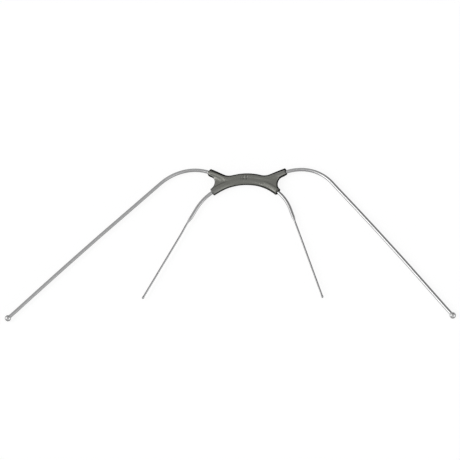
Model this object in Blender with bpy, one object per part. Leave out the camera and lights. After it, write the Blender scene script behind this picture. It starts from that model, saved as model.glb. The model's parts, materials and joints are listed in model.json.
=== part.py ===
"""Self-retaining wire cheek retractor.

A moulded saddle carries two spring-wire bows that lie in one plane: an outer
bow of constant gauge whose arms end in balls, and an inner bow whose arms are
drawn down to a thinner gauge. Squeezing the arms together and letting go
spreads the cheeks.

Frame: X across the device, +Y towards the top of the saddle (the arms point
to -Y), +Z out of the wire plane. The origin is the middle of the saddle's flat
underside, so Z = 0 is the surface that the retractor lies on.
Lengths below are in millimetres and angles in degrees; the meshes are written
in metres. Names ending in _S are lengths along a bow, measured from X = 0.
"""

import math

import bmesh
import bpy
from mathutils import Matrix, Vector

MM = 0.001

# ---------------------------------------------------------------- dimensions
WIRE_R = 1.40 / 2  # outer bow, and the root of the inner bow
THIN_R = 0.70 / 2  # inner bow's arms, past the shoulder
PLANE_Z = 1.40  # height of both wires' centre plane above the underside

# outer bow, right half
BALL_X, BALL_Y = 96.97, -60.00  # centre of the end ball
OUTER_SLOPE = 44.45  # straight arm, below the X axis
OUTER_BEND_R = 20.70
OUTER_CREST_Y = 4.00  # highest point of the bend
STUB_RISE = 20.0  # the wire leaves the saddle climbing at this angle
SADDLE_ARCH_R = 24.0  # wire's crown inside the saddle
SADDLE_ARCH_TURN = 14.0
WAVE_R = 8.0  # reverse bend between crown and stub
OUTER_MOUTH_X = 16.75  # where the wire leaves its sleeve

# end ball
BALL_R = 2.60 / 2
SOCKET_R = 1.52 / 2  # blind hole that takes the wire's end
SOCKET_BOTTOM = 0.10  # behind the ball's centre
SOCKET_LIP = 0.08  # flat ring round the socket's mouth
SOCKET_END_GAP = 0.05  # between the wire's end and the socket's bottom

# inner bow, right half
INNER_TIP_X, INNER_TIP_Y = 39.33, -51.98
INNER_SLOPE = 64.30
INNER_ARCH_R = 24.60  # arch through the saddle
INNER_CREST_Y = -1.12
INNER_MOUTH_X = 14.44
SHOULDER_START = 3.60  # along the straight arm, where the root gauge ends
SHOULDER_LENGTH = 2.30

# bead on the inner arm's tip
BEAD_R = 0.92 / 2
BEAD_LENGTH = 1.30
BEAD_SWELL_SHARE = 0.55  # share of the length over which the wire swells to BEAD_R
BEAD_ROUND_FROM = 0.6  # share of the length where the rounded end starts
BEAD_END_AREA = 0.03  # share of the cross-section left flat at the very end

# saddle
SLEEVE_HALF_WIDTH = 1.27  # in the wire plane
SLEEVE_HALF_HEIGHT = 1.35  # across the wire plane
SLEEVE_CHAMFER = 0.18  # at both mouths
CHANNEL_R = 1.60 / 2  # bore for each wire
CHANNEL_OVERRUN = 1.0  # cutter past the sleeve's mouth
WEB_TOP_Z = 2.40
WEB_INSET = 0.46  # web's edge, inside each wire's centre line
WEB_SETBACK = 0.60  # web's end, behind each mouth
WEB_CORNER_INSET = 0.08  # web's corner, inside the inner sleeve's side
NOTCH_X, NOTCH_Y, NOTCH_R = 16.94, -1.80, 3.37  # side notch between the sleeves
NOTCH_FROM, NOTCH_TO = 108.0, 218.0
RIB_HALF_WIDTH = 0.22
RIB_LOW_Y, RIB_HIGH_Y = -1.9, 1.95
RIB_TOP_Z = PLANE_Z + SLEEVE_HALF_HEIGHT

# flex points: where each sprung arm is taken to bend
OUTER_FLEX_X = 32.375  # about 15 percent of the outer arm's free length
INNER_FLEX_SHARE = 0.15  # of the inner arm's thin length
SPLIT_GAP = 0.06  # between an arm's round end and the fixed wire's flat end
FLEX_AXIS_SIZE = 4.0  # display size of the empties

# mesh resolution
WIRE_SIDES = 16
THIN_SIDES = 12
SLEEVE_SIDES = 20
ARC_STEP = 4.5  # largest bend between stations
NOTCH_STEPS = 14
BALL_SIDES = 24
BALL_STEPS = 12  # along the sphere's profile
BEAD_STEPS = 9
ROUND_END_STEPS = 4
ROUND_END_ANGLE = 84.0  # of the quarter circle, so the end stays open for a small cap
SHARP_ANGLE = 40.0


# ------------------------------------------------------- lines in the wire plane
def heading(degrees):
    """Unit vector at an angle from +X."""
    angle = math.radians(degrees)
    return Vector((math.cos(angle), math.sin(angle)))


def left_of(direction):
    """The direction turned 90 degrees anticlockwise."""
    return Vector((-direction.y, direction.x))


def mirrored(point):
    return Vector((-point.x, point.y))


def arc_points(start, angle, radius, turn):
    """Points after start along an arc. turn is the change of heading, negative clockwise."""
    count = math.ceil(abs(turn) / ARC_STEP)
    reach = math.copysign(radius, turn)
    centre = start + reach * left_of(heading(angle))
    return [
        centre - reach * left_of(heading(angle + turn * i / count))
        for i in range(1, count + 1)
    ]


def outer_half():
    """Right half of the outer bow's centre line, from X = 0 to the ball's centre."""
    # the bend is tangent to the straight arm and crests at OUTER_CREST_Y
    ball_centre = Vector((BALL_X, BALL_Y))
    arm_normal = left_of(heading(-OUTER_SLOPE))
    centre_y = OUTER_CREST_Y - OUTER_BEND_R
    centre_offset = arm_normal.dot(ball_centre) - OUTER_BEND_R
    centre_x = (centre_offset - arm_normal.y * centre_y) / arm_normal.x
    stub_normal = left_of(heading(STUB_RISE))
    bend_start = Vector((centre_x, centre_y)) + OUTER_BEND_R * stub_normal

    # work back down the straight stub to the reverse bend, then up to the crown
    rise, crown = math.radians(STUB_RISE), math.radians(SADDLE_ARCH_TURN)
    wave_end_x = (SADDLE_ARCH_R + WAVE_R) * math.sin(crown) + WAVE_R * math.sin(rise)
    wave_end_y = bend_start.y - (bend_start.x - wave_end_x) * math.tan(rise)
    crown_y = (
        wave_end_y
        + SADDLE_ARCH_R * (1 - math.cos(crown))
        - WAVE_R * (math.cos(crown) - math.cos(rise))
    )

    line = [Vector((0.0, crown_y))]
    line += arc_points(line[-1], 0.0, SADDLE_ARCH_R, -SADDLE_ARCH_TURN)
    line += arc_points(line[-1], -SADDLE_ARCH_TURN, WAVE_R, SADDLE_ARCH_TURN + STUB_RISE)
    line.append(bend_start)
    line += arc_points(bend_start, STUB_RISE, OUTER_BEND_R, -(STUB_RISE + OUTER_SLOPE))
    line.append(ball_centre)
    return line


def inner_half():
    """Right half of the inner bow's centre line; its last segment is the straight arm."""
    tip = Vector((INNER_TIP_X, INNER_TIP_Y))
    turn = math.degrees(math.asin(INNER_MOUTH_X / INNER_ARCH_R))
    line = [Vector((0.0, INNER_CREST_Y))]
    line += arc_points(line[-1], 0.0, INNER_ARCH_R, -turn)

    # the bend starts at the mouth and is tangent to the arch and to the straight arm
    mouth = line[-1]
    arm_normal = left_of(heading(-INNER_SLOPE))
    mouth_normal = left_of(heading(-turn))
    reach = arm_normal.dot(tip) - arm_normal.dot(mouth)
    bend_radius = reach / (1.0 - arm_normal.dot(mouth_normal))
    line += arc_points(mouth, -turn, bend_radius, turn - INNER_SLOPE)
    line.append(tip)
    return line


def lengths_of(line):
    """Length from the start of a polyline to each of its points."""
    lengths = [0.0]
    for start, end in zip(line, line[1:]):
        lengths.append(lengths[-1] + (end - start).length)
    return lengths


def at_length(line, length):
    """Point and unit tangent at a length along a polyline."""
    lengths = lengths_of(line)
    last = len(line) - 2
    i = next(k for k in range(last + 1) if length <= lengths[k + 1] or k == last)
    step = line[i + 1] - line[i]
    return line[i] + step * ((length - lengths[i]) / step.length), step.normalized()


def length_at_x(line, x):
    lengths = lengths_of(line)
    for i, (start, end) in enumerate(zip(line, line[1:])):
        if start.x <= x <= end.x:
            share = (x - start.x) / (end.x - start.x)
            return lengths[i] + share * (lengths[i + 1] - lengths[i])


def piece_of(line, start, end):
    """The part of a polyline between two lengths, without doubled end points."""
    tolerance = 1e-4
    inside = [
        point
        for point, length in zip(line, lengths_of(line))
        if start + tolerance < length < end - tolerance
    ]
    return [at_length(line, start)[0], *inside, at_length(line, end)[0]]


def both_halves(half):
    """A right half with its mirror image before it, as one line from left to right."""
    return [mirrored(point) for point in reversed(half[1:])] + list(half)


# A station is (point, tangent, half width in the wire plane, half height along Z).
def stations_of(line, half_width, half_height=None):
    """A station at each point, widened at the joints to mitre them."""
    if half_height is None:
        half_height = half_width
    steps = [(end - start).normalized() for start, end in zip(line, line[1:])]
    stations = []
    for i, point in enumerate(line):
        before = steps[max(i - 1, 0)]
        after = steps[min(i, len(steps) - 1)]
        tangent = (before + after).normalized()
        stations.append((point, tangent, half_width / tangent.dot(before), half_height))
    return stations


def round_start(point, tangent, radius):
    """Stations of a half ball that leads into a rod starting at point."""
    stations = []
    for i in range(ROUND_END_STEPS, 0, -1):
        angle = math.radians(ROUND_END_ANGLE * i / ROUND_END_STEPS)
        ring = radius * math.cos(angle)
        stations.append((point - tangent * radius * math.sin(angle), tangent, ring, ring))
    return stations


# -------------------------------------------------------------- mesh builders
def new_object(name, bm, origin=(0.0, 0.0, 0.0), material=None, parent=None):
    """Writes a bmesh in millimetres as an object whose origin is at origin."""
    bmesh.ops.recalc_face_normals(bm, faces=bm.faces)
    place = Vector(origin)
    bmesh.ops.translate(bm, vec=-place, verts=bm.verts)
    bmesh.ops.scale(bm, vec=(MM, MM, MM), verts=bm.verts)
    mesh = bpy.data.meshes.new(name)
    bm.to_mesh(mesh)
    bm.free()
    mesh.shade_smooth()
    mesh.set_sharp_from_angle(angle=math.radians(SHARP_ANGLE))
    if material:
        mesh.materials.append(material)
    obj = bpy.data.objects.new(name, mesh)
    obj.location = place * MM
    if parent:
        obj.parent = parent
        obj.location -= parent.location
    bpy.context.scene.collection.objects.link(obj)
    return obj


def sweep(stations, sides):
    """A rod at PLANE_Z with one elliptical ring per station and both ends capped."""
    bm = bmesh.new()
    angles = [2 * math.pi * (i + 0.5) / sides for i in range(sides)]
    rings = []
    for point, tangent, half_width, half_height in stations:
        across = left_of(tangent) * half_width
        ring = []
        for angle in angles:
            x, y = point + across * math.cos(angle)
            ring.append(bm.verts.new((x, y, PLANE_Z + half_height * math.sin(angle))))
        rings.append(ring)
    for ring, following in zip(rings, rings[1:]):
        for i in range(sides):
            j = (i + 1) % sides
            bm.faces.new((ring[i], ring[j], following[j], following[i]))
    bm.faces.new(rings[0])
    bm.faces.new(rings[-1])
    return bm


def plate(name, outline, low, high, material=None):
    """A closed outline extruded from low to high."""
    bm = bmesh.new()
    face = bm.faces.new([bm.verts.new((x, y, low)) for x, y in outline])
    lifted = bmesh.ops.extrude_face_region(bm, geom=[face])["geom"]
    bmesh.ops.translate(
        bm,
        vec=(0, 0, high - low),
        verts=[part for part in lifted if isinstance(part, bmesh.types.BMVert)],
    )
    return new_object(name, bm, material=material)


def boolean(target, form, operation):
    """Joins or cuts target with a form that is kept as an unrendered helper."""
    form.hide_render = True
    form.display_type = "WIRE"
    modifier = target.modifiers.new(operation.lower() + "_" + form.name, "BOOLEAN")
    modifier.operation = operation
    modifier.object = form


def principled(name, colour, roughness, metallic):
    material = bpy.data.materials.new(name)
    material.use_nodes = True
    shader = material.node_tree.nodes["Principled BSDF"]
    shader.inputs["Base Color"].default_value = (*colour, 1.0)
    shader.inputs["Roughness"].default_value = roughness
    shader.inputs["Metallic"].default_value = metallic
    material.diffuse_color = (*colour, 1.0)
    return material


# --------------------------------------------------------------------- saddle
def sleeve_form(name, half, mouth):
    """Sleeve over one wire, chamfered at both mouths."""
    line = both_halves(piece_of(half, 0.0, mouth))
    stations = stations_of(line, SLEEVE_HALF_WIDTH, SLEEVE_HALF_HEIGHT)

    def mouth_stations(station, inward):
        point, tangent, wide, tall = station
        rim = (point, tangent, wide - SLEEVE_CHAMFER, tall - SLEEVE_CHAMFER)
        return rim, (point + tangent * (inward * SLEEVE_CHAMFER), tangent, wide, tall)

    left_rim, left_full = mouth_stations(stations[0], inward=1)
    right_rim, right_full = mouth_stations(stations[-1], inward=-1)
    stations = [left_rim, left_full, *stations[1:-1], right_full, right_rim]
    return new_object(name, sweep(stations, SLEEVE_SIDES))


def channel_cutter(name, half, mouth):
    """Bore for one wire, run out past both mouths."""
    line = both_halves(piece_of(half, 0.0, mouth + CHANNEL_OVERRUN))
    return new_object(name, sweep(stations_of(line, CHANNEL_R), WIRE_SIDES))


def rib_form():
    """Raised rib along Y, across the middle of the +Z face."""
    outline = [
        (-RIB_HALF_WIDTH, RIB_LOW_Y),
        (RIB_HALF_WIDTH, RIB_LOW_Y),
        (RIB_HALF_WIDTH, RIB_HIGH_Y),
        (-RIB_HALF_WIDTH, RIB_HIGH_Y),
    ]
    return plate("rib_form", outline, PLANE_Z, RIB_TOP_Z)


def offset_line(line, distance):
    """Each point moved to the left of its tangent."""
    return [
        point + left_of(tangent) * distance
        for point, tangent, _, _ in stations_of(line, 1.0)
    ]


def saddle_web(material):
    """Flat-backed web between the two wires, with a round notch in each side."""
    upper = offset_line(piece_of(OUTER, 0.0, OUTER_MOUTH_S - WEB_SETBACK), -WEB_INSET)
    lower = offset_line(piece_of(INNER, 0.0, INNER_MOUTH_S - WEB_SETBACK), WEB_INSET)
    corner, tangent = at_length(INNER, INNER_MOUTH_S - WEB_SETBACK / 2)
    corner += left_of(tangent) * (SLEEVE_HALF_WIDTH - WEB_CORNER_INSET)
    notch_step = (NOTCH_TO - NOTCH_FROM) / NOTCH_STEPS
    notch = [
        Vector((NOTCH_X, NOTCH_Y)) + NOTCH_R * heading(NOTCH_FROM + notch_step * i)
        for i in range(NOTCH_STEPS + 1)
    ]
    half = [*upper, *notch, corner, *reversed(lower)]
    outline = [mirrored(point) for point in reversed(half[1:-1])] + half
    return plate("saddle", outline, 0.0, WEB_TOP_Z, material)


def build_saddle(material):
    saddle = saddle_web(material)
    wires = (("outer", OUTER, OUTER_MOUTH_S), ("inner", INNER, INNER_MOUTH_S))
    for label, half, mouth in wires:
        boolean(saddle, sleeve_form(label + "_sleeve_form", half, mouth), "UNION")
    boolean(saddle, rib_form(), "UNION")
    for label, half, mouth in wires:
        cutter = channel_cutter(label + "_channel_cutter", half, mouth)
        boolean(saddle, cutter, "DIFFERENCE")


# ---------------------------------------------------------------- fixed wires
def build_outer_bow(material):
    """The outer wire held by the saddle, out to both flex points."""
    line = both_halves(piece_of(OUTER, 0.0, OUTER_FLEX_S - WIRE_R - SPLIT_GAP))
    bm = sweep(stations_of(line, WIRE_R), WIRE_SIDES)
    new_object("outer_bow", bm, material=material)


def build_inner_bow(material):
    """Root gauge through the saddle, then a tapered shoulder and thin wire each side."""
    half = piece_of(INNER, 0.0, SHOULDER_S)
    for length in (THIN_S, INNER_FLEX_S - THIN_R - SPLIT_GAP):
        half.append(at_length(INNER, length)[0])
    stations = stations_of(both_halves(half), WIRE_R)
    for i in (0, 1, -2, -1):
        point, tangent, _, _ = stations[i]
        stations[i] = (point, tangent, THIN_R, THIN_R)
    new_object("inner_bow", sweep(stations, WIRE_SIDES), material=material)


# ---------------------------------------------------------------- sprung arms
# side is -1 for the left (-X) arm and 1 for the right one
def build_arm(bow, hand, side, pivot, stations, sides, material):
    """An arm with its origin at the flex point, under an empty that turns about Z."""
    origin = Vector((side * pivot.x, pivot.y, PLANE_Z))
    axis = bpy.data.objects.new(f"{bow}_{hand}_flex_axis", None)
    axis.location = origin * MM
    axis.empty_display_size = FLEX_AXIS_SIZE * MM
    bpy.context.scene.collection.objects.link(axis)
    placed = [
        (Vector((side * point.x, point.y)), Vector((side * tangent.x, tangent.y)), wide, tall)
        for point, tangent, wide, tall in stations
    ]
    new_object(f"{bow}_arm_{hand}", sweep(placed, sides), origin, material, axis)
    return axis


def build_outer_arm(hand, side, material):
    """From the flex point round the bend and down into the ball's socket."""
    end = OUTER_RUN - SOCKET_BOTTOM - SOCKET_END_GAP
    body = stations_of(piece_of(OUTER, OUTER_FLEX_S, end), WIRE_R)
    pivot, tangent, _, _ = body[0]
    stations = round_start(pivot, tangent, WIRE_R) + body
    return build_arm("outer", hand, side, pivot, stations, WIRE_SIDES, material)


def build_inner_arm(hand, side, material):
    """Straight thin wire from the flex point to a small rounded bead."""
    pivot, tangent = at_length(INNER, INNER_FLEX_S)
    bead_start = INNER[-1] - tangent * BEAD_LENGTH
    stations = round_start(pivot, tangent, THIN_R)
    stations += stations_of([pivot, bead_start], THIN_R)
    for i in range(1, BEAD_STEPS + 1):
        share = i / BEAD_STEPS
        swell = math.sin(math.pi / 2 * min(1.0, share / BEAD_SWELL_SHARE))
        rounding = max(0.0, (share - BEAD_ROUND_FROM) / (1 - BEAD_ROUND_FROM))
        radius = THIN_R + (BEAD_R - THIN_R) * swell
        radius *= math.sqrt(max(BEAD_END_AREA, 1 - rounding**2))
        point = bead_start + tangent * (BEAD_LENGTH * share)
        stations.append((point, tangent, radius, radius))
    build_arm("inner", hand, side, pivot, stations, THIN_SIDES, material)


def ball_profile():
    """(along, radius) outline: blind socket, its flat mouth ring, then the sphere."""
    mouth_angle = math.asin((SOCKET_R + SOCKET_LIP) / BALL_R)
    mouth = -BALL_R * math.cos(mouth_angle)
    points = [(-SOCKET_BOTTOM, 0.0), (-SOCKET_BOTTOM, SOCKET_R), (mouth, SOCKET_R)]
    for i in range(BALL_STEPS):
        angle = (math.pi - mouth_angle) * (1 - i / BALL_STEPS)
        points.append((BALL_R * math.cos(angle), BALL_R * math.sin(angle)))
    return points + [(BALL_R, 0.0)]


def build_ball(hand, side, axis, material):
    """End ball, turned about X and then swung onto the wire's direction."""
    bm = bmesh.new()
    verts = [bm.verts.new((along, radius, 0.0)) for along, radius in ball_profile()]
    edges = [bm.edges.new(pair) for pair in zip(verts, verts[1:])]
    bmesh.ops.spin(
        bm,
        geom=verts + edges,
        cent=(0, 0, 0),
        axis=(1, 0, 0),
        angle=2 * math.pi,
        steps=BALL_SIDES,
        use_duplicate=False,
    )
    bmesh.ops.remove_doubles(bm, verts=bm.verts, dist=1e-4)
    direction = heading(-OUTER_SLOPE)
    swing = Matrix.Rotation(math.atan2(direction.y, side * direction.x), 4, "Z")
    bmesh.ops.transform(bm, matrix=swing, verts=bm.verts)
    centre = Vector((side * BALL_X, BALL_Y, PLANE_Z))
    bmesh.ops.translate(bm, vec=centre, verts=bm.verts)
    new_object("ball_tip_" + hand, bm, centre, material, axis)


# --------------------------------------------------------------------- model
for old in list(bpy.data.objects):
    bpy.data.objects.remove(old, do_unlink=True)

OUTER = outer_half()
OUTER_RUN = lengths_of(OUTER)[-1]
OUTER_MOUTH_S = length_at_x(OUTER, OUTER_MOUTH_X)
OUTER_FLEX_S = length_at_x(OUTER, OUTER_FLEX_X)

INNER = inner_half()
*_, INNER_STRAIGHT_S, INNER_RUN = lengths_of(INNER)
INNER_MOUTH_S = length_at_x(INNER, INNER_MOUTH_X)
SHOULDER_S = INNER_STRAIGHT_S + SHOULDER_START
THIN_S = SHOULDER_S + SHOULDER_LENGTH
INNER_FLEX_S = THIN_S + INNER_FLEX_SHARE * (INNER_RUN - THIN_S)

PLASTIC = principled(
    "saddle_plastic", colour=(0.147, 0.147, 0.127), roughness=0.45, metallic=0.0
)
SPRING = principled("spring_wire", colour=(0.60, 0.60, 0.61), roughness=0.24, metallic=1.0)
POLISHED = principled(
    "polished_ball", colour=(0.66, 0.66, 0.67), roughness=0.14, metallic=1.0
)
THIN = principled(
    "thin_spring_wire", colour=(0.52, 0.52, 0.53), roughness=0.28, metallic=1.0
)

build_saddle(PLASTIC)
build_outer_bow(SPRING)
build_inner_bow(SPRING)
for hand, side in (("left", -1.0), ("right", 1.0)):
    outer_axis = build_outer_arm(hand, side, SPRING)
    build_ball(hand, side, outer_axis, POLISHED)
    build_inner_arm(hand, side, THIN)

bpy.context.view_layer.update()
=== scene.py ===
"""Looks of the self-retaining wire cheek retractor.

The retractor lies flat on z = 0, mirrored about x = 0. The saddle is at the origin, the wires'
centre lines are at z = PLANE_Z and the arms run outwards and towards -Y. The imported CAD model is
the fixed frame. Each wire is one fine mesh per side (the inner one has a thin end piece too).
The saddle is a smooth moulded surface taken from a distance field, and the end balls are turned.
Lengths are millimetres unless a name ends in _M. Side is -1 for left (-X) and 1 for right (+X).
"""

import itertools
import json
import math

import bpy
import numpy as np
from mathutils import Matrix, Vector


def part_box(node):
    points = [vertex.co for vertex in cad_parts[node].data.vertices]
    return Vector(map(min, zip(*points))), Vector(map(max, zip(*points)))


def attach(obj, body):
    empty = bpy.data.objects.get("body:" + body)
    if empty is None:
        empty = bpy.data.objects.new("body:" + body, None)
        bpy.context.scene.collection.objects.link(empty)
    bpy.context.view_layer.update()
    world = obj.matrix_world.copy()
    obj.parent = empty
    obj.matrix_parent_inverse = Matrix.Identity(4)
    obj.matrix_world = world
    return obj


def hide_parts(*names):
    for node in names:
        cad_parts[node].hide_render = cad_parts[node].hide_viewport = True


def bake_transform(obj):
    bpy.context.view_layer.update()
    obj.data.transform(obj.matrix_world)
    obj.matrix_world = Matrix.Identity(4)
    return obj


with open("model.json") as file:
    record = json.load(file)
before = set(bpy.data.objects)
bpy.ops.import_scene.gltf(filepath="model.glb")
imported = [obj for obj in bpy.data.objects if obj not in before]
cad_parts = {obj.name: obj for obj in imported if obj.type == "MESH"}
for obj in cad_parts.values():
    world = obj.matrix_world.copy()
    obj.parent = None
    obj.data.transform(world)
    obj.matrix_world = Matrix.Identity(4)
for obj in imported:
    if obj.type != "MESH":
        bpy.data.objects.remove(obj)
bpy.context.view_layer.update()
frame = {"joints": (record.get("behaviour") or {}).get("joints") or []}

MM = 0.001

# ---------------------------------------------------------------- dimensions
WIRE_R = 0.70
THIN_R = 0.37
BEAD_R, BEAD_LENGTH = 0.47, 1.30
BALL_R = 1.30
PLANE_Z = 1.40
# slopes, rises and turns are in degrees
OUTER_SLOPE, OUTER_BEND_R, OUTER_CREST_Y = 44.45, 20.70, 4.00
STUB_RISE, SADDLE_ARCH_R, SADDLE_ARCH_TURN, WAVE_R = 20.0, 24.0, 14.0, 8.0
INNER_SLOPE, INNER_ARCH_R, INNER_CREST_Y = 64.30, 24.60, -1.12
INNER_TIP = np.array([39.33, -51.98])
OUTER_MOUTH_X, INNER_MOUTH_X = 16.75, 14.44
SHOULDER_START, SHOULDER_LENGTH = 3.60, 2.30
NOTCH_X, NOTCH_Y, NOTCH_R = 16.94, -1.80, 3.37
NOTCH_FROM, NOTCH_TO = 108.0, 218.0
WEB_INSET, WEB_SETBACK, WEB_TOP_Z = 0.46, 0.60, 2.46
SLEEVE_WIDE, SLEEVE_TALL = 1.27, 1.35
CHANNEL_R = 0.80
# how far each outer wire's end lies beyond the CAD's, along the arm and outwards
TRIM = {-1: (0.20, -0.17), 1: (-0.43, -0.19)}

ball_lo, ball_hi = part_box("ball_tip_right")
BALL_X = ball_hi.x / MM - BALL_R
BALL_Y = ball_lo.y / MM + BALL_R
JOINTS = {joint["name"]: joint for joint in frame["joints"]}


# ------------------------------------------------------------- curve helpers
def ease(value, start, span):
    """Smooth step from 0 to 1 as value goes from start to start + span; span may be negative."""
    u = np.clip((value - start) / span, 0, 1)
    return u * u * (3 - 2 * u)


def bell(value, middle, width):
    """Bell curve of height 1."""
    return np.exp(-(((value - middle) / width) ** 2))


def unit(angles):
    return np.stack([np.cos(angles), np.sin(angles)], 1)


def left_of(directions):
    """Directions turned a quarter anticlockwise."""
    return np.stack([-directions[:, 1], directions[:, 0]], 1)


def run_of(line):
    """Arc length at each point of a polyline."""
    return np.r_[0.0, np.cumsum(np.hypot(*np.diff(line, axis=0).T))]


def at_length(line, lengths):
    """Points and unit tangents at arc lengths, smoothed over neighbouring segments."""
    run = run_of(line)
    lengths = np.atleast_1d(np.asarray(lengths, float))
    points = np.stack([np.interp(lengths, run, line[:, k]) for k in (0, 1)], 1)
    steps = np.diff(line, axis=0)
    steps /= np.hypot(*steps.T)[:, None]
    headings = np.unwrap(np.arctan2(steps[:, 1], steps[:, 0]))
    # a long straight keeps its own heading right up to its ends
    knots, knot_headings = [], []
    for middle, size, heading in zip((run[1:] + run[:-1]) / 2, np.diff(run), headings):
        if size > 1.0:
            knots += [middle - size / 2 + 0.2, middle + size / 2 - 0.2]
            knot_headings += [heading, heading]
        else:
            knots.append(middle)
            knot_headings.append(heading)
    return points, unit(np.interp(lengths, knots, knot_headings))


def length_at_x(line, x):
    return float(np.interp(x, line[:, 0], run_of(line)))


# ------------------------------------------------------------- centre lines
def arc_points(start, heading, radius, turn):
    """Points after start along an arc, about one a degree; a negative turn is clockwise."""
    count = max(2, math.ceil(abs(turn)))
    side = 1.0 if turn > 0 else -1.0
    first = math.radians(heading)
    centre = np.array(start) + radius * side * np.array([-math.sin(first), math.cos(first)])
    angles = np.radians(heading + turn * np.arange(1, count + 1) / count)
    return list(centre - radius * side * left_of(unit(angles)))


def outer_half():
    """The outer bow's right half, from the middle of the saddle to the ball."""
    slope = math.radians(OUTER_SLOPE)
    normal = np.array([math.sin(slope), math.cos(slope)])
    ball = np.array([BALL_X, BALL_Y])
    centre_y = OUTER_CREST_Y - OUTER_BEND_R
    centre_x = (normal @ ball - OUTER_BEND_R - normal[1] * centre_y) / normal[0]
    rise, crown = math.radians(STUB_RISE), math.radians(SADDLE_ARCH_TURN)
    to_bend = np.array([-math.sin(rise), math.cos(rise)])
    bend = np.array([centre_x, centre_y]) + OUTER_BEND_R * to_bend
    wave_x = SADDLE_ARCH_R * math.sin(crown) + WAVE_R * (math.sin(crown) + math.sin(rise))
    wave_y = bend[1] - (bend[0] - wave_x) * math.tan(rise)
    crest = (
        wave_y
        + SADDLE_ARCH_R * (1 - math.cos(crown))
        - WAVE_R * (math.cos(crown) - math.cos(rise))
    )
    line = [np.array([0.0, crest])]
    line += arc_points(line[-1], 0.0, SADDLE_ARCH_R, -SADDLE_ARCH_TURN)
    line += arc_points(line[-1], -SADDLE_ARCH_TURN, WAVE_R, SADDLE_ARCH_TURN + STUB_RISE)
    line.append(bend)
    line += arc_points(bend, STUB_RISE, OUTER_BEND_R, -(STUB_RISE + OUTER_SLOPE))
    line.append(ball)
    return np.array(line)


def inner_half():
    """The inner bow's right half, and the arc length at which its straight arm starts."""
    turn = math.degrees(math.asin(INNER_MOUTH_X / INNER_ARCH_R))
    line = [np.array([0.0, INNER_CREST_Y])]
    line += arc_points(line[-1], 0.0, INNER_ARCH_R, -turn)
    mouth = line[-1]
    slope, out = math.radians(INNER_SLOPE), math.radians(turn)
    normal = np.array([math.sin(slope), math.cos(slope)])
    radial = np.array([math.sin(out), math.cos(out)])
    bend_r = (normal @ INNER_TIP - normal @ mouth) / (1.0 - normal @ radial)
    line += arc_points(mouth, -turn, bend_r, turn - INNER_SLOPE)
    straight = run_of(np.array(line))[-1]
    line.append(INNER_TIP)
    return np.array(line), straight


# names ending in _S are arc lengths from the middle of the saddle
OUTER = outer_half()
INNER, INNER_STRAIGHT_S = inner_half()
LINES = {"outer": OUTER, "inner": INNER}
OUTER_END_S, INNER_END_S = run_of(OUTER)[-1], run_of(INNER)[-1]
OUTER_MOUTH_S = length_at_x(OUTER, OUTER_MOUTH_X)
INNER_MOUTH_S = length_at_x(INNER, INNER_MOUTH_X)
SHOULDER_S = INNER_STRAIGHT_S + SHOULDER_START
THIN_S = SHOULDER_S + SHOULDER_LENGTH
THIN_JOINT_S = THIN_S + 1.4


# -------------------------------------------------------------- mesh helpers
def link_object(name, data):
    obj = bpy.data.objects.new(name, data)
    bpy.context.scene.collection.objects.link(obj)
    return obj


def make_object(name, verts, faces, material, uv=None, side=1):
    """A smooth-shaded object from points in millimetres; side -1 mirrors it to the left."""
    verts = np.array(verts, float)
    if side < 0:
        verts[:, 0] *= -1
        faces = [face[::-1] for face in faces]
    mesh = bpy.data.meshes.new(name)
    mesh.from_pydata((verts * MM).tolist(), [], faces)
    mesh.validate()
    mesh.update()
    if uv is not None:
        layer = mesh.uv_layers.new(name="wire")
        loops = np.zeros(len(mesh.loops), np.int32)
        mesh.loops.foreach_get("vertex_index", loops)
        layer.data.foreach_set("uv", np.asarray(uv, np.float32)[loops].ravel())
    mesh.polygons.foreach_set("use_smooth", [True] * len(mesh.polygons))
    mesh.materials.append(material)
    return link_object(name, mesh)


def shifted(ring):
    """The next point round for each point of a ring."""
    return ring[1:] + ring[:1]


def band(one, two):
    """Quads between two rings."""
    return list(zip(one, shifted(one), shifted(two), two))


# --------------------------------------------------------------------- wires
TUBE_SIDES = 32

# How far each hand-bent wire lies outside its nominal line: arc lengths, then offsets there.
BOWED = {
    ("outer", -1): (
        [18, 40, 48, 60, 72, 81, 90, 102, 112, 118.4],
        [0.05, -0.07, 0.02, 0.12, 0.24, 0.25, 0.22, 0.09, -0.05, -0.17],
    ),
    ("outer", 1): (
        [18, 28, 37, 44, 52, 60, 72, 84, 90, 102, 110, 118.4],
        [0.04, -0.06, -0.20, -0.20, -0.04, 0.07, 0.16, 0.16, 0.15, 0.02, -0.09, -0.19],
    ),
    ("inner", -1): (
        [16, 19, 25, 29, 40, 50, 60, 66],
        [-0.01, -0.05, -0.15, -0.13, -0.11, -0.16, -0.17, -0.20],
    ),
    ("inner", 1): (
        [16, 21, 26, 29, 33, 45, 66],
        [-0.03, -0.09, -0.07, -0.07, 0.0, 0.03, 0.05],
    ),
}
BOW_START_S = 10.0  # the wires are true up to here

# Fractions of the bead's length at which its rings lie.
BEAD_RINGS = [0.0, 0.08, 0.16, 0.26, 0.36, 0.48, 0.6, 0.7, 0.79, 0.86, 0.92, 0.96, 0.985]


def ripple(lengths, seed):
    """A small smooth unevenness along a length, the same on every run."""
    found = np.zeros_like(lengths)
    for k in range(1, 6):
        found += np.sin(lengths * (0.11 * k * k + 0.07 * seed) + 1.7 * seed * k) / k
    return found / 2.2


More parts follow.
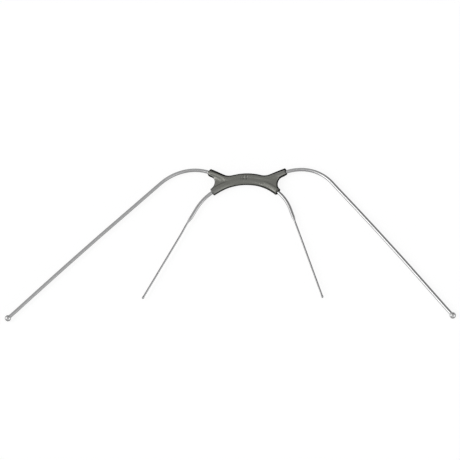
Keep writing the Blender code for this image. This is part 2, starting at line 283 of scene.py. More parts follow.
def bow_of(kind, side, lengths):
    """Smooth curve through the table, level inside the saddle."""
    places, offsets = BOWED[kind, side]
    fine = np.arange(0.0, places[-1] + 12.0, 0.5)
    rough = np.interp(fine, [BOW_START_S, *places], [0.0, *offsets])
    window = np.hanning(17)
    padded = np.pad(rough, 8, mode="edge")
    calm = np.convolve(padded, window / window.sum(), "valid")
    aside = np.interp(lengths, fine, calm)
    if (kind, side) == ("inner", -1):
        # the left shoulder is off centre, so its outer side runs straight on into the thin wire
        past = lengths - SHOULDER_S
        aside = aside + 0.19 * ease(past, -0.6, 3.4) * (1 - ease(past, 3.4, 5.2))
    return aside


def tube(name, kind, lengths, radii, side, material, seed):
    """A round wire with a radius at each arc length, ending in closed caps."""
    points, tangents = at_length(LINES[kind], lengths)
    across = left_of(tangents)
    # slight bends, fading out over the last 4 mm
    bent = 0.010 * ripple(lengths, seed) * np.clip((lengths[-1] - lengths) / 4.0, 0, 1)
    points = points + across * bow_of(kind, side, lengths)[:, None]
    # the seam of the wrap runs along the underside
    angles = -math.pi / 2 + 2 * math.pi * np.arange(TUBE_SIDES) / TUBE_SIDES
    uneven = (radii * (1.0 + 0.006 * ripple(lengths * 2.3, seed + 3)))[:, None]
    outwards = uneven * np.cos(angles) + bent[:, None]
    x = points[:, None, 0] + across[:, None, 0] * outwards
    y = points[:, None, 1] + across[:, None, 1] * outwards
    z = PLANE_Z + uneven * np.sin(angles) + 0.4 * bent[:, None]
    verts = np.stack([x, y, z], -1).reshape(-1, 3).tolist()
    round_wire = (radii[:, None] * (angles + math.pi / 2)[None, :]).reshape(-1)
    uv = np.stack([np.repeat(lengths, TUBE_SIDES), round_wire], 1).tolist()
    rings = np.arange(len(verts)).reshape(-1, TUBE_SIDES).tolist()
    faces = []
    for one, two in zip(rings, rings[1:]):
        faces += band(one, two)
    for end in (0, -1):
        centre = len(verts)
        verts.append([*points[end], PLANE_Z])
        uv.append([float(lengths[end]), 0.0])
        for here, after in zip(rings[end], shifted(rings[end])):
            faces.append((centre, after, here) if end == 0 else (centre, here, after))
    return make_object(name, verts, faces, material, uv, side)


def stations(start, end, fine_to, step_fine=0.30, step_long=0.9):
    """Arc lengths from start to end, closer together up to fine_to."""
    near = np.arange(start, min(fine_to, end), step_fine)
    far = np.arange(min(fine_to, end), end, step_long)
    return np.r_[near, far, end]


def root_shape(side):
    """Arc lengths and radii of the inner wire's thick root and its shoulder."""
    taper = SHOULDER_LENGTH + (0.9 if side < 0 else 0.2)
    lengths = np.r_[
        stations(0.0, SHOULDER_S - 0.3, SHOULDER_S),
        np.linspace(SHOULDER_S - 0.15, THIN_S + 1.3, 26),
        THIN_JOINT_S,
        THIN_JOINT_S + 0.06,
        THIN_JOINT_S + 0.8,
    ]
    radii = WIRE_R + (THIN_R - WIRE_R) * ease(lengths, SHOULDER_S, taper)
    # the last stretch is hidden inside the thin wire
    radii[-2:] = THIN_R - 0.02
    return lengths, radii


def thin_shape():
    """Arc lengths and radii of the inner wire's thin end with its bead."""
    bead_start = INNER_END_S - BEAD_LENGTH
    lengths = np.r_[
        THIN_JOINT_S,
        stations(THIN_JOINT_S + 0.2, bead_start - 0.3, THIN_S + 14.0, 0.4, 0.8),
        INNER_END_S - BEAD_LENGTH * (1 - np.array(BEAD_RINGS)),
    ]
    u = (lengths - bead_start) / BEAD_LENGTH
    swell = THIN_R + (BEAD_R - THIN_R) * ease(u, 0.0, 0.5)
    # the last 0.4 of the bead is rounded off
    cap = np.sqrt(np.clip(1 - (np.clip(u - 0.6, 0, 1) / 0.4) ** 2, 0.02, 1))
    return lengths, np.where(u > 0, swell * cap, THIN_R)


# ------------------------------------------------------------ saddle surface
SADDLE_CELL = 0.125

# Strokes on the saddle's top, each (points in x and y, half width, strength): these are pale
# strokes of painted highlight; the next table holds dark strokes of painted shade.
PAINTED_HIGHLIGHT_STROKES = [
    ([(-16.5, 2.44), (-14.48, 1.88), (-12.34, 1.13), (-10.2, 0.12), (-9.3, -0.58)], 0.30, 1.0),
    ([(-13.6, 0.18), (-12.1, -0.50), (-10.9, -1.05)], 0.36, 0.85),
    ([(8.4, -2.66), (10.8, -3.60), (13.5, -5.42)], 0.38, 0.85),
    ([(13.5, 0.80), (14.22, 1.03), (17.0, 1.93)], 0.40, 0.45),
    ([(16.4, 2.95), (13.1, 1.70)], 0.30, 0.22),
]
# Dark strokes of painted shade over the stubs and along the left notch, with the same columns.
PAINTED_SHADE_STROKES = [
    ([(-16.5, 1.72), (-15.2, 1.22), (-13.9, 0.72)], 0.36, 0.48),
    ([(-13.6, 0.86), (-12.8, 0.55), (-10.7, -0.55)], 0.24, 0.34),
    ([(8.3, -3.28), (10.5, -4.22), (13.3, -6.02)], 0.26, 0.38),
    ([(-14.8, 0.80), (-13.8, -0.62), (-13.57, -1.8), (-13.8, -2.98), (-14.7, -4.3)], 0.33, 0.60),
]

# Dents beside the rib: (x, half width, depth).
DENTS = [(0.32, 0.17, 1.0), (-1.08, 0.19, 1.0), (-2.08, 0.22, 0.45)]


def smin(a, b, blend):
    """Minimum with the corner rounded over blend."""
    h = np.maximum(blend - np.abs(a - b), 0) / blend
    return np.minimum(a, b) - h * h * blend / 4


def smax(a, b, blend):
    return -smin(-a, -b, blend)


def distance_to_line(points, line):
    """Distance from points to a polyline, with the arc length of the nearest point."""
    best = np.full(len(points), 1e9)
    where = np.zeros(len(points))
    for a, b, start in zip(line[:-1], line[1:], run_of(line)):
        along = b - a
        length = math.hypot(*along)
        u = np.clip(((points - a) @ along) / length**2, 0, 1)
        gap = np.hypot(*(points - a - u[:, None] * along).T)
        near = gap < best
        best[near] = gap[near]
        where[near] = start + u[near] * length
    return best, where


def signed_to_polygon(points, polygon):
    """Distance to a closed polygon, negative inside."""
    closed = np.vstack([polygon, polygon[:1]])
    gap, _ = distance_to_line(points, closed)
    inside = np.zeros(len(points), bool)
    for a, b in zip(closed[:-1], closed[1:]):
        crosses = (a[1] > points[:, 1]) != (b[1] > points[:, 1])
        if abs(b[1] - a[1]) > 1e-12:
            x = a[0] + (points[:, 1] - a[1]) * (b[0] - a[0]) / (b[1] - a[1])
            inside ^= crosses & (points[:, 0] < x)
    return np.where(inside, -gap, gap)


def resampled(line, end, count):
    return at_length(line, np.linspace(0.0, end, count))


def web_edge(line, mouth, count, outwards):
    points, tangents = resampled(line, mouth - WEB_SETBACK, count)
    return points + left_of(tangents) * outwards


def web_outline():
    """The web between the two sleeves, right half."""
    upper = web_edge(OUTER, OUTER_MOUTH_S, 34, -WEB_INSET)
    lower = web_edge(INNER, INNER_MOUTH_S, 30, WEB_INSET)
    foot, tangent = at_length(INNER, INNER_MOUTH_S - WEB_SETBACK / 2)
    corner = foot + left_of(tangent) * (SLEEVE_WIDE - 0.08)
    angles = np.radians(np.linspace(NOTCH_FROM, NOTCH_TO, 22))
    notch = np.array([NOTCH_X, NOTCH_Y]) + NOTCH_R * unit(angles)
    half = np.vstack([upper, notch, corner, lower[::-1]])
    # the folded field only sees x >= 0, so the outline runs a little past the middle
    past_middle = np.array([1.5, 0.0])
    return np.vstack([half[:1] - past_middle, half, half[-1:] - past_middle])


# each stub's centre line, running on past its mouth, and the mouth's arc length
STUBS = {
    "outer": (resampled(OUTER, OUTER_MOUTH_S + 3.0, 90)[0], OUTER_MOUTH_S),
    "inner": (resampled(INNER, INNER_MOUTH_S + 3.0, 70)[0], INNER_MOUTH_S),
}
WEB = web_outline()


def saddle_plan(points):
    """The parts of the saddle's field that depend on x and y only.

    For each stub: distance from its line, offset to the line's +Y side, distance past the
    mouth, and arc length.
    """
    x, y = points[:, 0], points[:, 1]
    folded = np.stack([np.abs(x), y], 1)
    plan = {"x": x, "y": y, "web": signed_to_polygon(folded, WEB)}
    for kind, (line, mouth_s) in STUBS.items():
        gap, along = distance_to_line(folded, line)
        mouth, mouth_way = at_length(line, mouth_s)
        foot, way = at_length(line, along)
        offset = ((folded - foot) * left_of(way)).sum(1)
        past = (folded - mouth[0]) @ mouth_way[0]
        if kind == "outer":
            # the right stub is a little longer than the left one
            past -= 0.28 * ease(x, 0.0, 2.0)
        plan[kind] = (gap, offset, past, along)
    return plan


def dent_depth(plan):
    """Depth of the dents beside the rib, 0 to 1."""
    within = ease(plan["y"], -1.0, 0.7) * ease(plan["y"], 1.5, -0.7)
    found = 0.0
    for x, width, depth in DENTS:
        found = found + depth * bell(plan["x"], x, width)
    return found * within


def strokes(points, marks):
    """How strongly the marks cover each point, 0 to 1."""
    cover = np.zeros(len(points))
    for path, width, strength in marks:
        path = np.array(path)
        near = np.full(len(points), 1e9)
        for a, b in zip(path, path[1:]):
            u = np.clip(((points - a) @ (b - a)) / ((b - a) @ (b - a)), 0, 1)
            near = np.minimum(near, ((points - a - u[:, None] * (b - a)) ** 2).sum(1))
        cover = np.maximum(cover, strength * np.exp(-near / width**2))
    return cover


def sleeve_field(plan, kind, z):
    """One flattened sleeve round a wire."""
    gap, offset, past, along = plan[kind]
    mouth_s = STUBS[kind][1]
    # each stub widens towards its mouth, differently on its +Y (above) and -Y (below) sides
    near_mouth = ease(along, mouth_s - 8.0, 7.0)
    above = ease(offset, -0.4, 0.8)
    below = 1 - above
    right = ease(plan["x"], -1.0, 2.0)
    if kind == "outer":
        widening = near_mouth * (0.13 + 0.20 * above - 0.24 * right * below)
    else:
        widening = near_mouth * ((0.10 + 0.13 * (1 - right)) * below - 0.14 * above)
        widening = widening + 0.15 * below
    # small rolled lip at the mouth
    lip = 0.06 * bell(past, -0.40, 0.32)
    wide = SLEEVE_WIDE - 0.012 + widening + lip
    tall = SLEEVE_TALL - 0.012 + 0.4 * lip
    sleeve = (np.sqrt((gap / wide) ** 2 + (z / tall) ** 2) - 1.0) * wide
    # six shallow flats round the sleeve, stronger along the stub
    stub = 0.25 + 0.75 * ease(along, mouth_s - 9.5, 3.0)
    angle = np.arctan2(z, offset)
    if kind == "outer":
        sleeve = sleeve - 0.046 * stub * np.cos(6 * (angle - 0.35))
    else:
        sleeve = sleeve - 0.030 * stub * np.cos(6 * angle)
    return smax(sleeve, past, 0.62)


def saddle_field(plan, z):
    """Signed distance, near enough, to the saddle's surface; z is from the wires' plane."""
    x, y = plan["x"], plan["y"]
    whole = smin(sleeve_field(plan, "outer", z), sleeve_field(plan, "inner", z), 0.55)
    slab = np.abs(z - (WEB_TOP_Z / 2 - PLANE_Z)) - WEB_TOP_Z / 2
    # the web's bottom edge is more rounded than its top edge
    web = smax(plan["web"], slab, 0.6 + 0.9 * ease(z, -0.35, -0.5))
    whole = smin(whole, web, 0.80)
    whole = smax(whole, z - SLEEVE_TALL, 0.10)
    # flat underside that the retractor lies on
    whole = smax(whole, -(z + PLANE_Z), 0.12)
    # raised rib along Y near the middle of the top, with dents beside it
    top = ease(z, 0.1, 0.5)
    within = ease(y, -2.2, 0.5) * ease(y, 2.35, -0.35)
    whole = whole - 0.022 * bell(x, -0.38, 0.22) * top * within
    whole = whole + 0.055 * dent_depth(plan) * top
    # parting line of the two mould halves, round the edge at the wires' plane
    whole = whole - 0.018 * bell(z, 0.0, 0.11)
    # slight sink and flow of the moulding
    whole = whole - 0.010 * np.sin(x * 0.9 + 0.4) * np.sin(y * 1.3 + z * 1.1)
    # open channels for the wires, countersunk at the mouths
    for kind in STUBS:
        gap, _, past, _ = plan[kind]
        bore = CHANNEL_R + 0.20 * ease(past, -0.50, 0.50)
        whole = smax(whole, -(np.sqrt(gap**2 + z**2) - bore), 0.10)
    return whole


def surface_nets(values, low, cell_size):
    """Points and quads on the zero level of a field sampled on a grid."""
    inside = values < 0
    nx, ny, nz = values.shape
    corners = list(itertools.product((0, 1), repeat=3))

    def corner(array, place):
        i, j, k = place
        return array[i : nx - 1 + i, j : ny - 1 + j, k : nz - 1 + k]

    count = sum(corner(inside, place).astype(np.int8) for place in corners)
    active = (count > 0) & (count < 8)
    index = np.full(active.shape, -1, np.int64)
    index[active] = np.arange(active.sum())
    cells = np.argwhere(active)
    # each active cell's point is the mean of the crossings on its edges
    total = np.zeros((len(cells), 3))
    number = np.zeros(len(cells))
    for a, b in itertools.combinations(corners, 2):
        if sum(abs(x - y) for x, y in zip(a, b)) != 1:
            continue
        at_a, at_b = corner(values, a)[active], corner(values, b)[active]
        cross = (at_a < 0) != (at_b < 0)
        u = np.where(cross, at_a / np.where(cross, at_a - at_b, 1.0), 0.0)
        point = np.array(a)[None] + u[:, None] * (np.array(b) - np.array(a))[None]
        total += np.where(cross[:, None], point, 0.0)
        number += cross
    verts = low + (cells + total / number[:, None]) * cell_size
    # each grid edge that crosses the surface joins its four cells
    faces = []
    for axis, (u_axis, v_axis) in enumerate([(1, 2), (2, 0), (0, 1)]):
        first = [slice(None)] * 3
        second = [slice(None)] * 3
        first[axis], second[axis] = slice(0, -1), slice(1, None)
        a, b = inside[tuple(first)], inside[tuple(second)]
        edges = np.argwhere(a != b)
        keep = (edges[:, u_axis] > 0) & (edges[:, v_axis] > 0)
        keep &= edges[:, u_axis] < values.shape[u_axis] - 1
        keep &= edges[:, v_axis] < values.shape[v_axis] - 1
        edges = edges[keep]
        leaving = a[tuple(edges.T)]
        quad = []
        for du, dv in ((-1, -1), (0, -1), (0, 0), (-1, 0)):
            cell = edges.copy()
            cell[:, u_axis] += du
            cell[:, v_axis] += dv
            quad.append(index[tuple(cell.T)])
        quad = np.stack(quad, 1)
        quad[~leaving] = quad[~leaving][:, ::-1]
        faces.append(quad)
    return verts, np.vstack(faces)


def settled(verts, nudge=0.01):
    """The points moved onto the field's exact zero level."""
    for _ in range(3):
        x_y, z = verts[:, :2], verts[:, 2]
        plan = saddle_plan(x_y)
        field = saddle_field(plan, z)
        moved = (
            saddle_field(saddle_plan(x_y + [nudge, 0]), z),
            saddle_field(saddle_plan(x_y + [0, nudge]), z),
            saddle_field(plan, z + nudge),
        )
        gradient = np.stack([(value - field) / nudge for value in moved], 1)
        step = field / np.maximum((gradient**2).sum(1), 0.25)
        step = np.clip(step, -0.4 * SADDLE_CELL, 0.4 * SADDLE_CELL)
        verts = verts - gradient * step[:, None]
    return verts


def saddle_attributes(verts):
    """Values at each point that steer the saddle's material."""
    plan = saddle_plan(verts[:, :2])
    x, y, height = plan["x"], plan["y"], verts[:, 2] - PLANE_Z
    # how near each point is to the lip of a mouth, where shade is painted
    lip = np.zeros(len(verts))
    for kind, strength in (("outer", 1.0), ("inner", 0.75)):
        gap, _, past, _ = plan[kind]
        near = bell(np.minimum(past, 0.0), 0.0, 0.46)
        lip = np.maximum(lip, strength * near * ease(gap, 2.1, -0.3))
    top = ease(height, 0.35, 0.4)
    # painted light: lighter, cooler patches on the right upper stub and the left lower stub
    painted_light_patch = ease(x, 11.5, 3.0) * ease(y, -0.2, 1.2)
    return {
        "lip": lip,
        # painted shade in the dents
        "dents": np.clip(dent_depth(plan), 0, 1) * (verts[:, 2] > 2.0),
        # pale strokes of painted highlight on the top
        "painted_highlight": top * strokes(verts[:, :2], PAINTED_HIGHLIGHT_STROKES),
        # dark strokes of painted shade on the top
        "painted_shade": top * strokes(verts[:, :2], PAINTED_SHADE_STROKES),
        # painted shade on the low walls of the left half, near the floor
        "low": ease(height, 0.80, -0.45) * ease(x, -1.0, -5.0),
        "painted_light_patch": painted_light_patch + ease(x, -9.0, -4.0) * ease(y, -3.6, -1.4),
    }


def build_saddle(material):
    low = np.array([-18.6, -8.4, -1.40 - 3 * SADDLE_CELL])
    high = np.array([18.6, 5.4, 1.85])
    size = np.ceil((high - low) / SADDLE_CELL).astype(int) + 1
    xs, ys, zs = (low[k] + SADDLE_CELL * np.arange(size[k]) for k in range(3))
    grid_x, grid_y = np.meshgrid(xs, ys, indexing="ij")
    plan = saddle_plan(np.stack([grid_x.ravel(), grid_y.ravel()], 1))
    layers = [
        saddle_field(plan, np.full(grid_x.size, z)).reshape(grid_x.shape) for z in zs
    ]
    verts, faces = surface_nets(np.stack(layers, -1), low, SADDLE_CELL)
    verts = settled(verts)
    verts[:, 2] += PLANE_Z
    verts[:, 2] = np.maximum(verts[:, 2], 0.0)
    obj = make_object("saddle_moulding", verts, faces.tolist(), material)
    for name, values in saddle_attributes(verts).items():
        obj.data.attributes.new(name, "FLOAT", "POINT").data.foreach_set("value", values)
    return obj


# ----------------------------------------------------------------- end balls
BALL_STEPS = 56
BALL_BORE_R, BALL_MOUTH_R = 0.76, 0.86


def ball_profile():
    """(radius, place along the axis): blind socket, rounded mouth, then the sphere."""
    bore = BALL_BORE_R
    mouth_angle = math.degrees(math.asin(BALL_MOUTH_R / BALL_R))
    mouth = -BALL_R * math.cos(math.radians(mouth_angle))
    points = [(0.0, -0.10), (0.40, -0.10), (bore - 0.012, -0.10), (bore, -0.12), (bore, -0.55)]
    points.append((bore, mouth + 0.11))
    for degrees in (20, 45, 70, 90):
        a = math.radians(degrees)
        points.append((bore + 0.055 * (1 - math.cos(a)), mouth + 0.11 - 0.085 * math.sin(a)))
    points.append((0.838, mouth + 0.012))
    for degrees in np.linspace(180 - mouth_angle, 0, 40):
        # a buffed flat and a little squash keep it from being a perfect sphere
        worn = 1.0 - 0.004 * bell(degrees, 8, 14) - 0.003 * bell(degrees, 95, 9)
        a = math.radians(degrees)
        points.append((worn * BALL_R * math.sin(a), worn * BALL_R * math.cos(a)))
    return points


def build_ball(name, side, material):
    verts, faces, uv, rings = [], [], [], []
    for radius, place in ball_profile():
        start = len(verts)
        if radius < 1e-6:
            verts.append([place, 0.0, 0.0])
            uv.append([place, 0.0])
        else:
            for a in 2 * math.pi * np.arange(BALL_STEPS) / BALL_STEPS:
                verts.append([place, radius * math.cos(a), radius * math.sin(a)])
                uv.append([place, radius * a])
        rings.append(list(range(start, len(verts))))
    for one, two in zip(rings, rings[1:]):
        if len(one) == 1:
            faces += [(one[0], after, here) for here, after in zip(two, shifted(two))]
        elif len(two) == 1:
            faces += [(here, after, two[0]) for here, after in zip(one, shifted(one))]
        else:
            faces += band(one, two)
    slope = math.radians(-OUTER_SLOPE)
    cos, sin = math.cos(slope), math.sin(slope)
    along, out = TRIM[side]
    axial, lateral, z = np.array(verts).T
    x = BALL_X + (axial + along) * cos - (lateral + out) * sin
    y = BALL_Y + (axial + along) * sin + (lateral + out) * cos
    return make_object(name, np.stack([x, y, PLANE_Z + z], 1), faces, material, uv, side)


# ---------------------------------------------------------------- materials
def rgba(value):
    """A grey level or three channels as an opaque colour."""
    if isinstance(value, (int, float)):
        return (value, value, value, 1.0)
    return (*value[:3], 1.0)


class Look:
    """Builds the node tree of a material or world. Any value may be a number or a socket."""

    def __init__(self, owner):
        self.owner = owner
        owner.use_nodes = True
        self.tree = owner.node_tree
        self.tree.nodes.clear()

    def new(self, kind, **settings):
        node = self.tree.nodes.new("ShaderNode" + kind)
        for key, value in settings.items():
            setattr(node, key, value)
        return node

    def set(self, socket, value):
        if hasattr(value, "is_output"):
            self.tree.links.new(value, socket)
        else:
            socket.default_value = value

    def put(self, node, **inputs):
        """Sets inputs by name, with underscores for spaces."""
        for key, value in inputs.items():
            self.set(node.inputs[key.replace("_", " ")], value)
        return node

    def fill(self, node, *values):
        """Sets the first inputs in order."""
        for socket, value in zip(node.inputs, values):
            self.set(socket, value)
        return node

    def add(self, kind, **inputs):
        return self.put(self.new(kind), **inputs)

    def noise(self, vector, **inputs):
        return self.add("TexNoise", Vector=vector, **inputs).outputs[0]

    def stretch(self, vector, scale):
        return self.add("Mapping", Vector=vector, Scale=scale).outputs[0]

    def attribute(self, name):
        return self.new("Attribute", attribute_name=name).outputs["Fac"]

    def ramp(self, factor, stops):
        """Grey ramp through (place, brightness) stops."""
        node = self.fill(self.new("ValToRGB"), factor)
        elements = node.color_ramp.elements
        while len(elements) > 1:
            elements.remove(elements[-1])
        elements[0].position, elements[0].color = stops[0][0], rgba(stops[0][1])
        for place, value in stops[1:]:
            elements.new(place).color = rgba(value)
        return node.outputs[0]

    def math(self, operation, a, b=0.0, c=0.0, clamp=False):
        node = self.new("Math", operation=operation, use_clamp=clamp)
        return self.fill(node, a, b, c).outputs[0]

    def times(self, a, b, clamp=False):
        return self.math("MULTIPLY", a, b, clamp=clamp)

    def scaled(self, value, by, plus, clamp=False):
        return self.math("MULTIPLY_ADD", value, by, plus, clamp)

    def larger(self, a, b):
        return self.math("MAXIMUM", a, b)

    def mix(self, factor, a, b, blend="MIX"):
        node = self.new("Mix", data_type="RGBA", blend_type=blend)
        self.set(node.inputs[0], factor)
        for place, value in ((6, a), (7, b)):
            self.set(node.inputs[place], value if hasattr(value, "is_output") else rgba(value))
        return node.outputs[2]

    def mix_shaders(self, factor, a, b):
        return self.fill(self.new("MixShader"), factor, a, b).outputs[0]

    def finish(self, shader, kind="OutputMaterial"):
        self.add(kind, Surface=shader)
        return self.owner

    def finish_metal(self, colour, roughness, bump):
        shader = self.add(
            "BsdfPrincipled", Base_Color=colour, Metallic=1.0, Roughness=roughness, Normal=bump
        )
        return self.finish(shader.outputs[0])


def new_look(name):
    return Look(bpy.data.materials.new(name))


def steel(name, base, fade_between=None):
    """Drawn spring wire: fine marks along its length, slight cloudiness, a few nicks.

    Between the two arc lengths of fade_between the metal fades to a darker tone.
    """
    tint = (1.0, 1.0, 1.005)
    faded_share = 0.80
    look = new_look(name)
    uv = look.new("UVMap", uv_map="wire").outputs[0]
    along = look.stretch(uv, scale=(0.10, 9.0, 1.0))
    drawn = look.noise(along, Scale=1.0, Detail=6.0, Roughness=0.62)
    cloud_at = look.stretch(uv, scale=(0.35, 0.6, 1.0))
    cloud = look.noise(cloud_at, Scale=1.0, Detail=4.0, Roughness=0.55)
    nick_at = look.stretch(uv, scale=(1.4, 5.0, 1.0))
    nicks = look.add("TexVoronoi", Vector=nick_at, Scale=1.2).outputs[0]
    nick = look.ramp(nicks, stops=[(0.0, 1.0), (0.07, 1.0), (0.12, 0.0)])
    dark, light, cloudy = ([c * base * share for c in tint] for share in (0.86, 1.10, 0.92))
    colour = look.mix(look.ramp(drawn, stops=[(0.30, 0.0), (0.70, 1.0)]), dark, light)
    colour = look.mix(look.times(cloud, 0.35), colour, cloudy)
    if fade_between:
        start, end = fade_between
        length = look.add("SeparateXYZ", Vector=uv).outputs["X"]
        span = end - start
        fade = look.scaled(length, by=1.0 / span, plus=-start / span, clamp=True)
        colour = look.mix(fade, colour, faded_share, "MULTIPLY")
    roughness = look.scaled(drawn, by=0.16, plus=0.12)
    roughness = look.scaled(cloud, by=0.10, plus=roughness)
    roughness = look.scaled(nick, by=0.10, plus=roughness, clamp=True)
    height = look.scaled(drawn, by=1.0, plus=look.times(nick, -0.25))
    bump = look.add("Bump", Strength=0.55, Distance=0.00002, Height=height).outputs[0]
    return look.finish_metal(colour, roughness, bump)


def polished(name):
    """Polished ball: buffing rings round its axis and faint swirls."""
    base = 0.64
    look = new_look(name)
    uv = look.new("UVMap", uv_map="wire").outputs[0]
    rings_at = look.stretch(uv, scale=(7.0, 0.25, 1.0))
    rings = look.noise(rings_at, Scale=1.0, Detail=5.0, Roughness=0.6)
    place = look.new("TexCoord").outputs["Object"]
    swirl = look.noise(place, Scale=1400.0, Detail=3.0, Distortion=1.2)
    colour = look.mix(rings, base * 0.90, base * 1.08)
    roughness = look.scaled(rings, by=0.10, plus=0.09)
    roughness = look.scaled(swirl, by=0.06, plus=roughness, clamp=True)
    bump = look.add("Bump", Strength=0.25, Distance=0.00001, Height=rings).outputs[0]
    return look.finish_metal(colour, roughness, bump)


def moulded(name):
    """Satin grey-olive moulding: fine grain, flow streaks, darker painted shade where it turns
    away.
    """
    look = new_look(name)
    place = look.new("TexCoord").outputs["Object"]
    in_mm = look.stretch(place, scale=(1000.0, 1000.0, 1000.0))
    grain = look.noise(in_mm, Scale=7.0, Detail=6.0, Roughness=0.62)
    flow_at = look.stretch(in_mm, scale=(0.16, 1.5, 1.5))
    flow = look.noise(flow_at, Scale=1.4, Detail=4.0, Roughness=0.55, Distortion=0.6)
    patch = look.noise(in_mm, Scale=0.45, Detail=3.0, Roughness=0.5)

    # colour: streaks, patches, lighter cooler patches of painted light, pale strokes of painted
    # highlight, dark grain
    streak = look.ramp(flow, stops=[(0.32, 0.0), (0.68, 1.0)])
    colour = look.mix(streak, (0.052, 0.054, 0.0425), (0.093, 0.096, 0.0810))
    colour = look.mix(look.times(patch, 0.5), colour, (0.072, 0.073, 0.0635))
    painted_light_patch = look.attribute("painted_light_patch")
    colour = look.mix(look.times(painted_light_patch, 0.75), colour, (0.079, 0.0795, 0.083))
    painted_highlight = look.attribute("painted_highlight")
    painted_highlight = look.times(painted_highlight, look.scaled(grain, by=0.9, plus=0.55), clamp=True)
    colour = look.mix(painted_highlight, colour, (0.27, 0.275, 0.243))
    colour = look.mix(look.times(grain, 0.22), colour, (0.036, 0.037, 0.030))

    roughness = look.scaled(flow, by=0.10, plus=0.15)
    roughness = look.scaled(grain, by=0.08, plus=roughness)
    height = look.scaled(grain, by=0.55, plus=look.times(flow, 0.9))
    bump = look.add("Bump", Strength=0.35, Distance=0.00003, Height=height).outputs[0]
    body = look.add(
        "BsdfPrincipled",
        Base_Color=colour,
        Metallic=0.0,
        Roughness=roughness,
        Normal=bump,
        IOR=1.88,
        Specular_IOR_Level=1.0,
        Specular_Tint=(1.0, 1.0, 0.93, 1.0),
        Coat_Weight=0.25,
        Coat_Roughness=0.12,
    )

    # painted shade: a dark rim where the surface turns away, but not on level faces
    shade_colour = look.mix(grain, (0.002, 0.002, 0.002), (0.008, 0.008, 0.007))
    edge = look.add("BsdfDiffuse", Color=shade_colour).outputs[0]
    facing = look.add("LayerWeight", Blend=0.5).outputs["Facing"]
    rim_stops = [(0.0, 0.0), (0.22, 0.0), (0.34, 0.74), (0.43, 0.985), (1.0, 0.995)]
    turned = look.ramp(facing, rim_stops)
    lip = look.attribute("lip")
    normal = look.new("NewGeometry").outputs["Normal"]
    level = look.math("ABSOLUTE", look.add("SeparateXYZ", Vector=normal).outputs["Z"])
    not_level = look.ramp(level, stops=[(0.0, 1.0), (0.925, 1.0), (0.985, 0.0)])
    turned = look.times(turned, not_level)
    # the same painted shade on lips, dents, low parts and the dark strokes, by these shares
    turned = look.larger(turned, look.times(lip, 0.73))
    for key, share in (("dents", 0.75), ("low", 0.92), ("painted_shade", 1.0)):
        turned = look.larger(turned, look.times(look.attribute(key), share))
    return look.finish(look.mix_shaders(turned, body.outputs[0], edge))


SADDLE_MATERIAL = moulded("saddle_plastic_look")
OUTER_MATERIAL = steel("outer_wire_look", base=0.58)
INNER_MATERIAL = steel("inner_wire_look", base=0.56, fade_between=(THIN_S - 1.6, THIN_S + 2.4))
BALL_MATERIAL = polished("ball_look")


# -------------------------------------------------------------------- pieces
def flex(wire):
    """Bakes the wire's placement into its mesh."""
    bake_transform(wire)


def joint_place(kind, hand):
    return np.array(JOINTS[kind + "_flex_" + hand]["pos_m"]) / MM


def add_outer_wire(side, hand):
    """From the middle of the saddle into the ball's socket."""
    end = OUTER_END_S - 0.15 + min(0.0, TRIM[side][0])
    lengths = stations(0.0, end, OUTER_MOUTH_S + 26.0)
    radii = np.full(len(lengths), WIRE_R)
    name = "outer_wire_" + hand
    wire = tube(name, "outer", lengths, radii, side, OUTER_MATERIAL, seed=2 + side)
    pivot_s = length_at_x(OUTER, abs(joint_place("outer", hand)[0]))
    tangent = at_length(OUTER, pivot_s)[1][0]
    flex(wire)
    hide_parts("outer_arm_" + hand, "outer_bow")


def add_inner_wire(side, hand):
    """Thick root with its shoulder, then the thin wire with its end bead."""
    for name, (lengths, radii), node, slot in (
        ("inner_root_", root_shape(side), "inner_bow", "spring_wire"),
        ("inner_wire_", thin_shape(), "inner_arm_" + hand, "thin_spring_wire"),
    ):
        wire = tube(name + hand, "inner", lengths, radii, side, INNER_MATERIAL, seed=5 + side)
        flex(wire)
        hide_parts(node)


def add_ball(side, hand):
    ball = build_ball("ball_end_" + hand, side, BALL_MATERIAL)
    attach(ball, "outer_" + hand)
    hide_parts("ball_tip_" + hand)


saddle = build_saddle(SADDLE_MATERIAL)
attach(saddle, "bridge")
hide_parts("saddle")

for side, hand in ((-1, "left"), (1, "right")):
    add_outer_wire(side, hand)
    add_inner_wire(side, hand)
    add_ball(side, hand)


# --------------------------------------------------------------------- stage
FLOOR_HALF_M, FLOOR_Z_M = 6.0, -0.00004

# Soft boxes: (azimuth from +X, elevation, inner and outer radius, all in degrees,
# brightness added to the even grey).
SOFT_BOXES = [
    (-180.0, 47.0, 8.0, 17.0, 2.20),
    (-156.5, 33.5, 7.0, 16.5, 2.20),
    (-174.0, 29.0, 14.0, 35.0, 0.70),
    (-20.0, 3.0, 21.0, 28.5, 1.35),
    (-74.0, 18.0, 8.5, 22.0, 0.80),
    (75.0, 24.0, 15.0, 31.0, -0.46),
    (-84.0, 67.0, 4.0, 20.0, 0.45),
    (-110.0, -62.0, 18.0, 40.0, -0.34),
]
EVEN_GREY = 0.66
BACKDROP_GREY = 0.93  # what the camera sees past the floor


def floor_look():
    """Light table: white to the camera, clear to all other rays."""
    look = new_look("floor_look")
    place = look.new("TexCoord").outputs["Object"]
    mottle = look.noise(place, Scale=30.0, Detail=3.0)
    paper = look.mix(mottle, 0.19, 0.21)
    diffuse = look.add("BsdfDiffuse", Color=paper).outputs[0]
    glow = look.add("Emission", Color=(1, 1, 1, 1), Strength=0.86).outputs[0]
    table = look.fill(look.new("AddShader"), diffuse, glow).outputs[0]
    clear = look.new("BsdfTransparent").outputs[0]
    seen = look.new("LightPath").outputs["Is Camera Ray"]
    material = look.finish(look.mix_shaders(seen, clear, table))
    material.cycles.emission_sampling = "NONE"
    return material


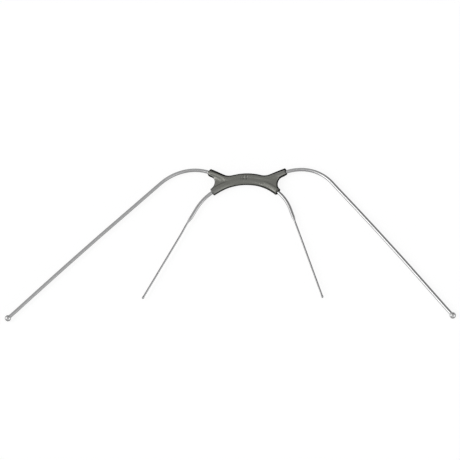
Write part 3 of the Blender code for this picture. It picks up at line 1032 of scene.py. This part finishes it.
def add_floor():
    mesh = bpy.data.meshes.new("floor")
    corners = [(-1, -1), (1, -1), (1, 1), (-1, 1)]
    verts = [(x * FLOOR_HALF_M, y * FLOOR_HALF_M, FLOOR_Z_M) for x, y in corners]
    mesh.from_pydata(verts, [], [(0, 1, 2, 3)])
    floor = link_object("floor", mesh)
    mesh.materials.append(floor_look())


def towards(azimuth, elevation):
    a, e = math.radians(azimuth), math.radians(elevation)
    return (math.cos(a) * math.cos(e), math.sin(a) * math.cos(e), math.sin(e))


def add_studio():
    """Surroundings of even grey with soft boxes."""
    world = bpy.data.worlds.new("studio")
    bpy.context.scene.world = world
    look = Look(world)
    direction = look.new("TexCoord").outputs["Generated"]
    total = EVEN_GREY
    for azimuth, elevation, inner_r, outer_r, added in SOFT_BOXES:
        dot = look.new("VectorMath", operation="DOT_PRODUCT")
        look.fill(dot, direction, towards(azimuth, elevation))
        soft = look.put(
            look.new("MapRange", interpolation_type="SMOOTHSTEP"),
            Value=dot.outputs["Value"],
            From_Min=math.cos(math.radians(outer_r)),
            From_Max=math.cos(math.radians(inner_r)),
            To_Min=0.0,
            To_Max=added,
        )
        adder = look.new("Math", operation="ADD")
        total = look.fill(adder, soft.outputs["Result"], total).outputs[0]
    studio = look.add("Background", Strength=total).outputs[0]
    backdrop = look.add("Background", Color=rgba(BACKDROP_GREY)).outputs[0]
    seen = look.new("LightPath").outputs["Is Camera Ray"]
    look.finish(look.mix_shaders(seen, studio, backdrop), "OutputWorld")


add_floor()
add_studio()

# -------------------------------------------------------------------- camera
# Looks down from the -Y side and the right, rolled so that the device lies level in the
# picture. Azimuth is from -Y towards +X; all three are degrees.
AZIMUTH, ELEVATION, ROLL = 46.43, 61.56, -43.09
DISTANCE_M = 7.0
SENSOR_WIDTH = 36.0
VIEW_WIDTH = 188.416  # seen across the picture at the saddle
OFFSET_RIGHT, OFFSET_UP = -6.843, -20.859  # picture centre from the saddle's centre


def add_camera():
    azimuth, elevation, roll = (math.radians(v) for v in (AZIMUTH, ELEVATION, ROLL))
    back = Vector(
        (
            math.sin(azimuth) * math.cos(elevation),
            -math.cos(azimuth) * math.cos(elevation),
            math.sin(elevation),
        )
    )
    level_up = (Vector((0, 0, 1)) - back * back.z).normalized()
    level_right = level_up.cross(back)
    right = level_right * math.cos(roll) + level_up * math.sin(roll)
    up = level_up * math.cos(roll) - level_right * math.sin(roll)
    centre = Vector((0, 0, PLANE_Z * MM)) + right * (OFFSET_RIGHT * MM) + up * (OFFSET_UP * MM)
    data = bpy.data.cameras.new("camera")
    data.sensor_width = SENSOR_WIDTH
    data.lens = SENSOR_WIDTH * DISTANCE_M / (VIEW_WIDTH * MM)
    data.clip_start, data.clip_end = 0.5, 30.0
    camera = link_object("camera", data)
    rows = [(right[k], up[k], back[k], centre[k] + back[k] * DISTANCE_M) for k in range(3)]
    camera.matrix_world = Matrix((*rows, (0, 0, 0, 1)))
    bpy.context.scene.camera = camera


add_camera()

view = bpy.context.scene.view_settings
view.view_transform = "Standard"
view.look = "None"
view.exposure = 0.0
view.gamma = 1.0

bpy.context.view_layer.update()
